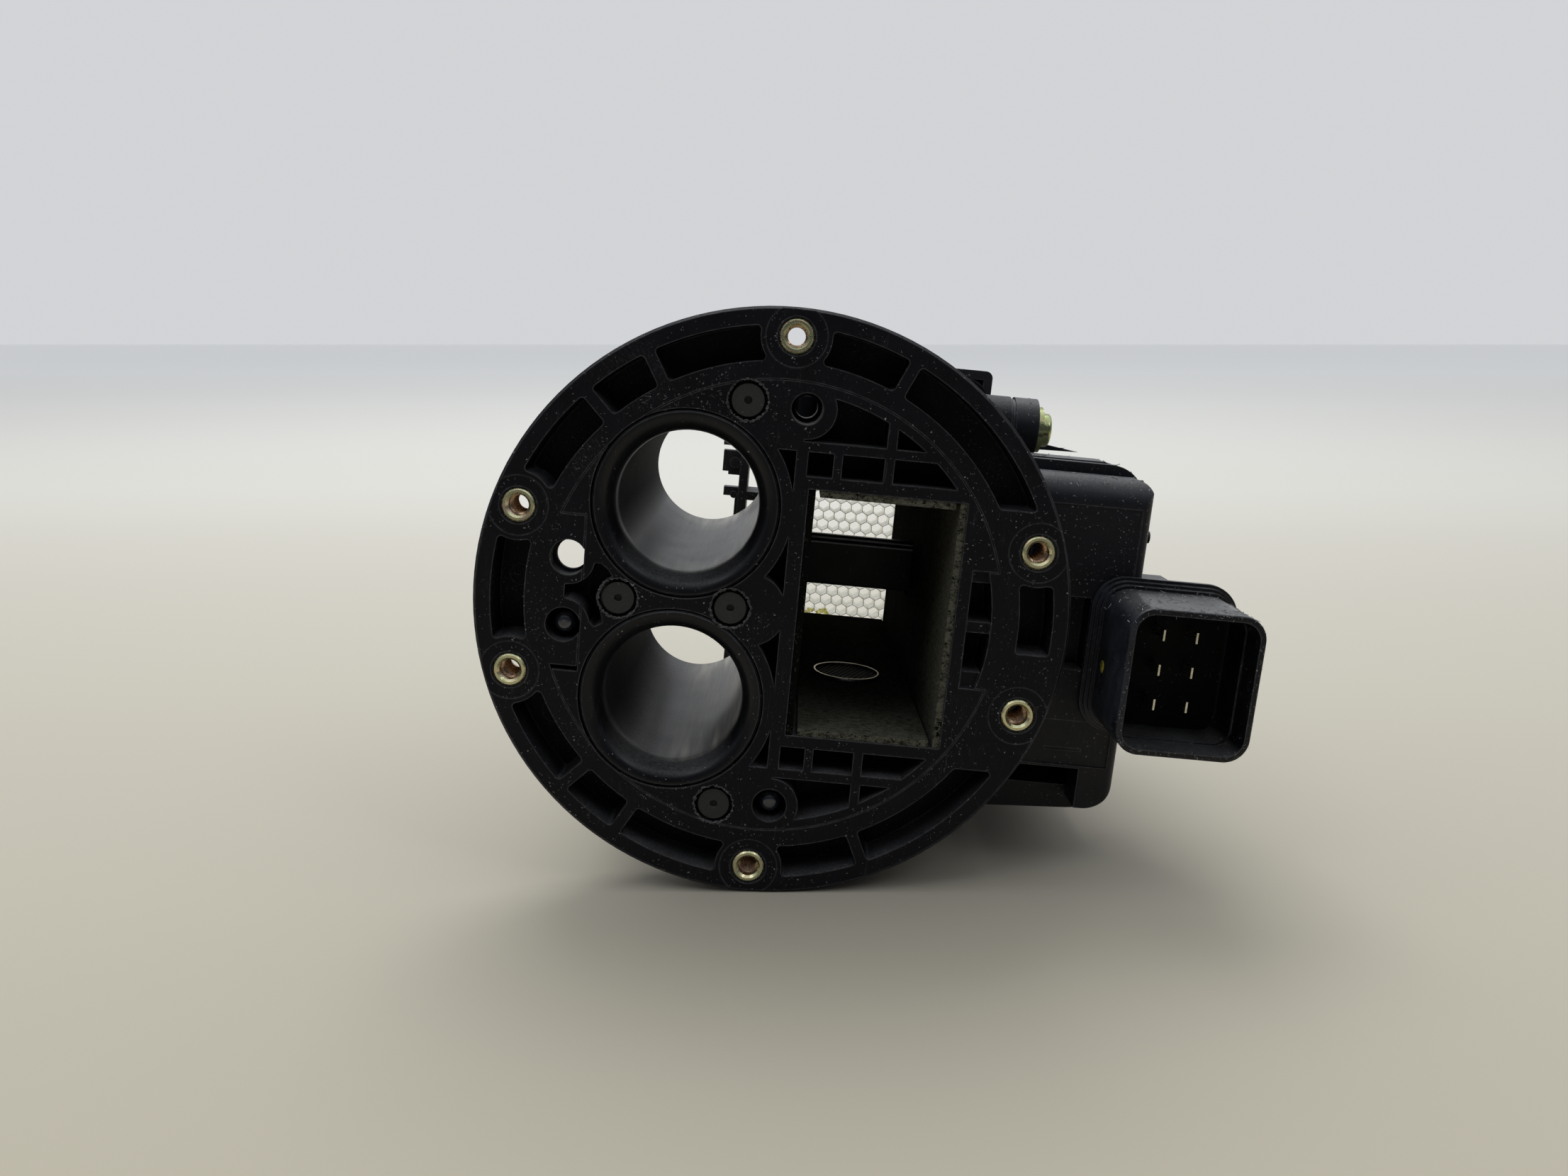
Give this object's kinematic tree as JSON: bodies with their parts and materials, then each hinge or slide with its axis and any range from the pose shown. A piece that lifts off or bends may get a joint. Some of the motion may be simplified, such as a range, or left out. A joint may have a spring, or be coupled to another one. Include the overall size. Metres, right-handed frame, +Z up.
{
  "type": "mass airflow sensor",
  "caption": "Vortex type airflow sensor: round outlet flange with threaded inserts, two bell-mouth bypass tubes, lined duct with vortex column and honeycomb, side module with socket.",
  "frame": {"origin": "centre of the outlet flange's mating face", "axes": "+Y along the duct from the outlet to the inlet, +X towards the electronics module, +Z up; the outlet face looks along -Y"},
  "size_m": [0.1594, 0.1326, 0.12],
  "materials": {
    "body_nylon": "black glass-filled nylon, dry and slightly purple-grey, with dust, lint and fine scratches",
    "frame_nylon": "black nylon, dusty",
    "case_nylon": "black nylon, smoother, slightly blue-grey, dusty ledges",
    "connector_nylon": "black moulded plastic, satin, with a small yellow paint dot",
    "tube_nylon": "dark neutral grey nylon, satin, with faint streaks and specks",
    "dowel_nylon": "black, domed and shiny on top",
    "insert_brass": "yellow zinc plate, with green and pink tints and rust-brown threads",
    "felt": "grey-olive fine felt with light fuzzy edges",
    "transducer_can": "dull metal can with a bright rim",
    "wire_mesh": "dark fine wire mesh",
    "soft_rubber": "black rubber",
    "zinc_steel": "yellow-green zinc plated steel",
    "honeycomb_foil": "thin bright foil that mirrors the light behind it, brown debris in some cells",
    "probe_resin": "dark resin bead",
    "board_laminate": "green laminate",
    "shield_tin": "tinned steel",
    "cell_plastic": "dark moulded resin",
    "terminal_brass": "tin plated brass blade"
  },
  "bodies": {
    "root": {"air_temperature_sensor": "probe_resin", "board_screws": "zinc_steel", "board_shield": "shield_tin", "bypass_tube_pair": "tube_nylon", "cap_screws": "zinc_steel", "circuit_board": "board_laminate", "connector_housing": "connector_nylon", "frame_screws": "zinc_steel", "frame_seal": "soft_rubber", "honeycomb": "honeycomb_foil", "inlet_frame": "frame_nylon", "liner_bottom": "felt", "liner_left": "felt", "liner_right": "felt", "liner_top": "felt", "locating_dowels": "dowel_nylon", "measuring_body": "body_nylon", "module_case": "case_nylon", "module_cover": "case_nylon", "module_gasket": "soft_rubber", "module_screws": "zinc_steel", "module_washers": "zinc_steel", "outlet_flange": "body_nylon", "port_grommet": "soft_rubber", "pressure_cell": "cell_plastic", "receiver_cap": "case_nylon", "receiver_grommet": "soft_rubber", "receiver_mesh": "wire_mesh", "terminal_1": "terminal_brass", "terminal_2": "terminal_brass", "terminal_3": "terminal_brass", "terminal_4": "terminal_brass", "terminal_5": "terminal_brass", "terminal_6": "terminal_brass", "threaded_inserts": "insert_brass", "transmitter_cap": "case_nylon", "transmitter_grommet": "soft_rubber", "transmitter_mesh": "wire_mesh", "ultrasonic_receiver": "transducer_can", "ultrasonic_transmitter": "transducer_can", "vortex_column": "tube_nylon"}
  },
  "joints": []
}
